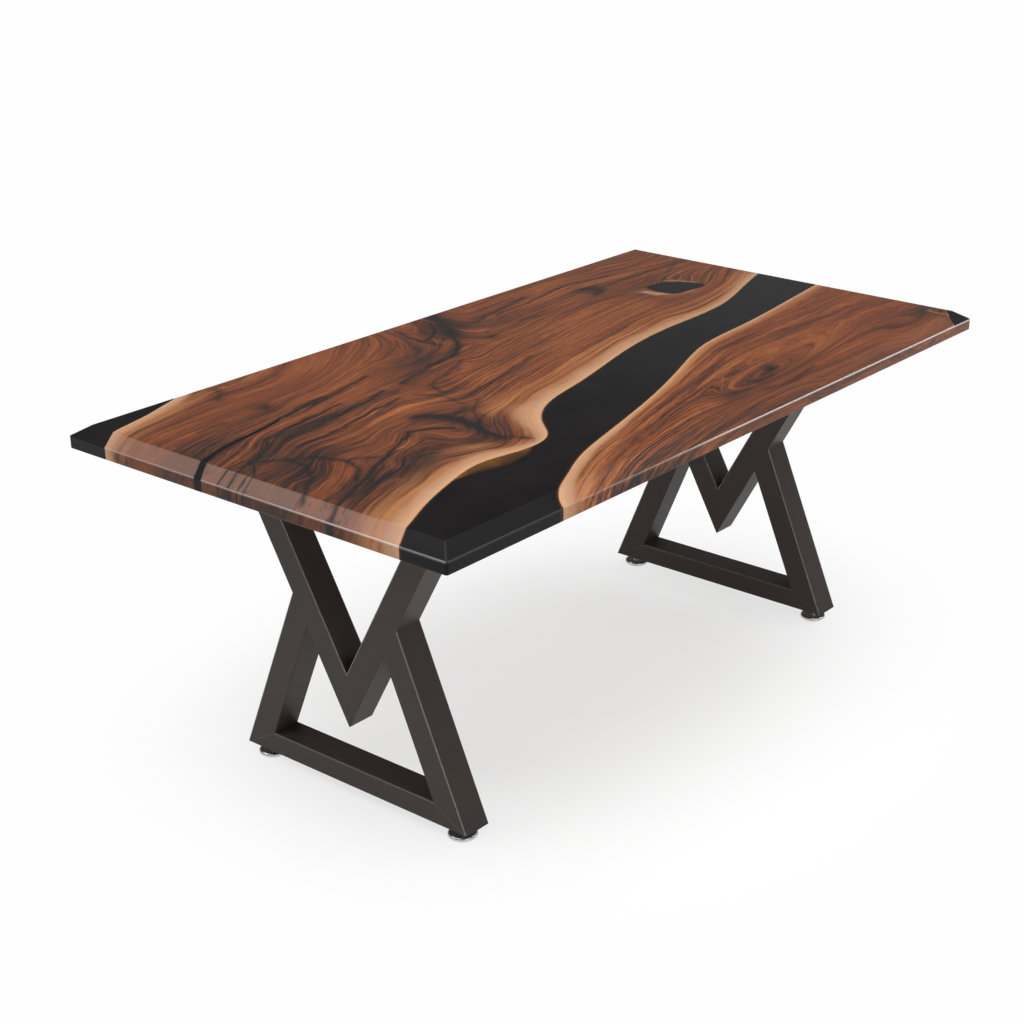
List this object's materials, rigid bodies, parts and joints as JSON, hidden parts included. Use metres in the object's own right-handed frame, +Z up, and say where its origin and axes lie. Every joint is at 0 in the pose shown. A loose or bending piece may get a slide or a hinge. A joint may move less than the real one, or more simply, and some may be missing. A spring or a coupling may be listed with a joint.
{
  "type": "epoxy resin dining table",
  "caption": "River dining table: bevelled walnut slabs joined by dark cast resin, on two welded V-and-trapeze tube legs with adjustable screw feet.",
  "frame": {"origin": "on the floor under the middle of the top", "axes": "+X along the table, +Z up, -Y the front long side"},
  "size_m": [1.8, 0.98, 0.75],
  "materials": {
    "walnut": "oiled, semi-gloss",
    "resin": "polished",
    "powder_coat": "satin powder coat",
    "zinc_steel": "zinc plated",
    "insert_brass": "turned",
    "chrome": "polished",
    "glide_rubber": "matte"
  },
  "bodies": {
    "table": {"main_walnut_slab": "walnut", "narrow_walnut_slab": "walnut", "river_resin": "resin", "left_rear_corner_resin": "resin", "right_front_corner_resin": "resin", "knot_resin": "resin", "crack_resin": "resin", "left_leg_floor_bar": "powder_coat", "left_leg_rear_post": "powder_coat", "left_leg_rear_arm": "powder_coat", "left_leg_front_post": "powder_coat", "left_leg_front_arm": "powder_coat", "left_leg_top_plate": "powder_coat", "left_leg_bolts": "zinc_steel", "left_leg_washers": "zinc_steel", "left_leg_threaded_inserts": "insert_brass", "left_leg_foot_nuts": "zinc_steel", "right_leg_floor_bar": "powder_coat", "right_leg_rear_post": "powder_coat", "right_leg_rear_arm": "powder_coat", "right_leg_front_post": "powder_coat", "right_leg_front_arm": "powder_coat", "right_leg_top_plate": "powder_coat", "right_leg_bolts": "zinc_steel", "right_leg_washers": "zinc_steel", "right_leg_threaded_inserts": "insert_brass", "right_leg_foot_nuts": "zinc_steel"},
    "left_front_foot": {"left_front_foot_pad": "chrome", "left_front_foot_glide": "glide_rubber"},
    "left_front_stud": {"left_front_foot_stud": "zinc_steel"},
    "left_rear_foot": {"left_rear_foot_pad": "chrome", "left_rear_foot_glide": "glide_rubber"},
    "left_rear_stud": {"left_rear_foot_stud": "zinc_steel"},
    "right_front_foot": {"right_front_foot_pad": "chrome", "right_front_foot_glide": "glide_rubber"},
    "right_front_stud": {"right_front_foot_stud": "zinc_steel"},
    "right_rear_foot": {"right_rear_foot_pad": "chrome", "right_rear_foot_glide": "glide_rubber"},
    "right_rear_stud": {"right_rear_foot_stud": "zinc_steel"}
  },
  "joints": [
    {"name": "left_front_foot_lift", "type": "slide", "parent": "table", "child": "left_front_foot", "axis": [0, 0, -1], "range_m": [-0.005, 0.015]},
    {"name": "left_front_stud_turn", "type": "hinge", "parent": "left_front_foot", "child": "left_front_stud", "pos_m": [-0.637, -0.267, 0.014], "axis": [0, 0, -1], "range_deg": [-1200, 3600]},
    {"name": "left_rear_foot_lift", "type": "slide", "parent": "table", "child": "left_rear_foot", "axis": [0, 0, -1], "range_m": [-0.005, 0.015]},
    {"name": "left_rear_stud_turn", "type": "hinge", "parent": "left_rear_foot", "child": "left_rear_stud", "pos_m": [-0.637, 0.267, 0.014], "axis": [0, 0, -1], "range_deg": [-1200, 3600]},
    {"name": "right_front_foot_lift", "type": "slide", "parent": "table", "child": "right_front_foot", "axis": [0, 0, -1], "range_m": [-0.005, 0.015]},
    {"name": "right_front_stud_turn", "type": "hinge", "parent": "right_front_foot", "child": "right_front_stud", "pos_m": [0.637, -0.267, 0.014], "axis": [0, 0, -1], "range_deg": [-1200, 3600]},
    {"name": "right_rear_foot_lift", "type": "slide", "parent": "table", "child": "right_rear_foot", "axis": [0, 0, -1], "range_m": [-0.005, 0.015]},
    {"name": "right_rear_stud_turn", "type": "hinge", "parent": "right_rear_foot", "child": "right_rear_stud", "pos_m": [0.637, 0.267, 0.014], "axis": [0, 0, -1], "range_deg": [-1200, 3600]}
  ],
  "couplings": [
    {"joint": "left_front_stud_turn", "follows": "left_front_foot_lift", "rad_per_m": 4188.8},
    {"joint": "left_rear_stud_turn", "follows": "left_rear_foot_lift", "rad_per_m": 4188.8},
    {"joint": "right_front_stud_turn", "follows": "right_front_foot_lift", "rad_per_m": 4188.8},
    {"joint": "right_rear_stud_turn", "follows": "right_rear_foot_lift", "rad_per_m": 4188.8}
  ]
}
